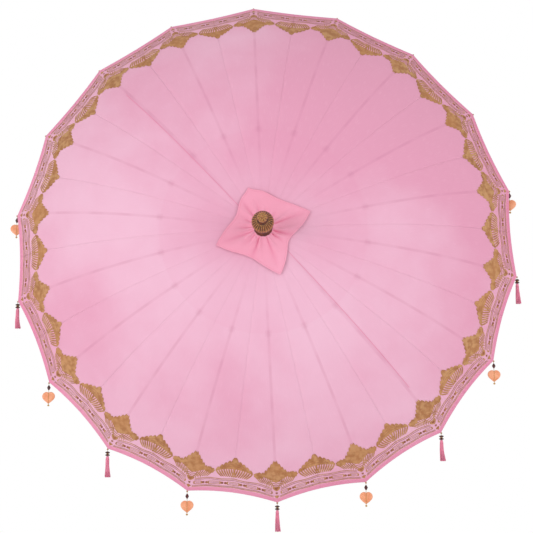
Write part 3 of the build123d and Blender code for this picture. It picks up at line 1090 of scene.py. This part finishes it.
def build_tassel(number):
    """Gold thread, two turned beads with a gold ring between them, and a skirt of cut threads."""
    name, nose, drop = ornament(number)
    shape = Shape()
    spiral_thread(shape, nose, drop + 0.002, 0)
    bead = [
        (0.0002, 0), (0.004, 0.0004), (0.0085, 0.0026), (0.0093, 0.0043), (0.0082, 0.0062),
        (0.004, 0.0078), (0.0002, 0.0080),
    ]
    ring = [(0.0002, 0), (0.0056, 0.0006), (0.0056, 0.0018), (0.0002, 0.0024)]
    head = [(0.0002, 0), (0.0046, 0.0006), (0.0060, 0.004), (0.0062, 0.010), (0.0056, 0.013)]
    for down in (0.0, 0.0098):
        shape.lathe((nose[0], nose[1], nose[2] - drop - down), bead, 24, 1)
    shape.lathe((nose[0], nose[1], nose[2] - drop - 0.0077), ring, 20, 0)
    start = nose[2] - drop - 0.0178
    shape.lathe((nose[0], nose[1], start), head, 24, 2)
    for wrap in range(3):
        loop = []
        for k in range(25):
            a = TAU * k / 24
            down = 0.0095 + 0.0011 * wrap
            loop.append((nose[0] + 0.0063 * cos(a), nose[1] + 0.0063 * sin(a), start - down))
        shape.tube(loop, [0.0006] * 25, 5, 2)
    add_skirt(shape, number, nose[0], nose[1], start - 0.0105)
    made = shape.make(f"tuft_{number:02d}", [GOLD_THREAD, DARK_BEAD, PINK_THREAD], name)
    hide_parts(name)


def build_ties():
    """A loop of gold thread about each rib's nose, and a brass rivet at each strut's fork."""
    for number in range(1, RIBS + 1):
        turn = rib_angle(number)
        out = Vector(polar(1, turn, 0))
        across = Vector(laid(-sin(turn), cos(turn), 0))
        along = Vector((0, -1, 0))
        nose = ornament(number)[1]
        way = (out - along).normalized()
        up = way.cross(across)
        shape = Shape()
        for loop in range(3):
            centre = nose - way * (0.0046 + 0.0014 * loop)
            ring = []
            for k in range(17):
                a = TAU * k / 16
                ring.append(centre + 0.0024 * (cos(a) * across + sin(a) * up))
            shape.tube(ring, [0.0008] * 17, 6, 0)
        shape.make(f"tip_loop_{number:02d}", [GOLD_THREAD], f"rib_{number:02d}")
        depth = height(FORK_RADIUS) - FORK_DEPTH
        pivot = Vector(polar(FORK_RADIUS, turn, depth))
        rivet = Shape()
        for face in (-1, 1):
            path = [pivot + face * across * d for d in (0.0050, 0.0074, 0.0082, 0.0089)]
            rivet.tube(path, [0.0014, 0.0030, 0.0028, 0.0014], 16, 0)
        rivet.make(f"rivet_{number:02d}", [BRASS], f"strut_{number:02d}")


# ---------------------------------------------------------------- CAD nodes that stay


def finish_nodes():
    """Better materials on the wooden nodes that keep their CAD shape."""
    finishes = {
        "top_hub": HUB_WOOD, "runner": HUB_WOOD, "pole_upper": POLE_WOOD, "pole_lower": POLE_WOOD,
    }
    for number in range(1, RIBS + 1):
        finishes[f"rib_{number:02d}"] = RIB_WOOD
        finishes[f"strut_{number:02d}"] = STRUT_WOOD
    for name, material in finishes.items():
        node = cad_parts[name]
        for slot in node.material_slots:
            slot.link = "OBJECT"
            slot.material = material


def build_ferrule():
    """The brass sleeve over the pole's joint, with rolled ends, over its plain CAD solid."""
    shape = Shape()
    half = [(0.0556, 0.0195), (0.0556, 0.0217), (0.053, 0.0223), (0.050, 0.0216), (0.048, 0.0213)]
    half += [(0.004, 0.0213), (0.002, 0.0219)]
    profile = [(-offset, radius) for offset, radius in half] + half[::-1]
    rows = [[polar(radius, a, FERRULE + offset) for a in angles(64)] for offset, radius in profile]
    shape.grid(rows, closed=True)
    shape.make("ferrule_brass", [BRASS], "pole")


# ---------------------------------------------------------------- studio


def studio():
    """Camera where the picture was taken from, a pale floor and soft light."""
    scene = bpy.context.scene
    scene.view_settings.view_transform = "Standard"
    azimuth, elevation, distance = radians(1.03), radians(-11.42), 5.0
    target = Vector((0, -RIM, 0))
    level = cos(elevation)
    back = Vector((sin(azimuth) * level, -cos(azimuth) * level, sin(elevation)))
    lens = bpy.data.cameras.new("camera")
    lens.lens = 85.19
    lens.sensor_width = 36
    lens.shift_x = 0.0030
    lens.shift_y = -0.0384
    camera = bpy.data.objects.new("camera", lens)
    camera.location = target + distance * back
    camera.rotation_euler = (-back).to_track_quat("-Z", "Y").to_euler()
    scene.collection.objects.link(camera)
    scene.camera = camera

    floor_height, side, near, far = -1.30, 8.0, -12.0, 3.0
    corners = [(-side, near), (side, near), (side, far), (-side, far)]
    pale = lacquer("floor_paint", linear(250, 250, 250), linear(246, 246, 247), 2, 0.7)
    floor = piece("floor", [(x, y, floor_height) for x, y in corners], [(0, 1, 2, 3)], [pale], None)

    world = bpy.data.worlds.new("studio")
    world.use_nodes = True
    tree = world.node_tree
    soft = tree.nodes["Background"]
    white = tree.nodes.new("ShaderNodeBackground")
    for node, strength in ((soft, 0.64), (white, 1.0)):
        node.inputs[0].default_value = (1, 1, 1, 1)
        node.inputs[1].default_value = strength
    path = tree.nodes.new("ShaderNodeLightPath")
    choose = tree.nodes.new("ShaderNodeMixShader")
    tree.links.new(path.outputs["Is Camera Ray"], choose.inputs[0])
    tree.links.new(soft.outputs[0], choose.inputs[1])
    tree.links.new(white.outputs[0], choose.inputs[2])
    tree.links.new(choose.outputs[0], tree.nodes["World Output"].inputs[0])
    scene.world = world

    def area(name, place, aim, width, power):
        lamp = bpy.data.lights.new(name, "AREA")
        lamp.size = width
        lamp.energy = power
        thing = bpy.data.objects.new(name, lamp)
        thing.location = place
        thing.rotation_euler = (Vector(aim) - Vector(place)).to_track_quat("-Z", "Y").to_euler()
        scene.collection.objects.link(thing)

    area("key", (-4.0, -6.0, -0.4), (0, -2, 0), 2.6, 110)
    area("fill", (4.0, -5.5, 0.4), (0, -2, 0), 3.0, 68)
    area("back", (0.5, 3.0, 3.0), (0, -1.5, 0), 2.5, 60)


studio()
build_canopy()
build_cap()
build_finial()
for rib_number in range(1, RIBS + 1):
    if rib_number % 2:
        build_heart(rib_number)
    else:
        build_tassel(rib_number)
build_ties()
finish_nodes()
build_ferrule()
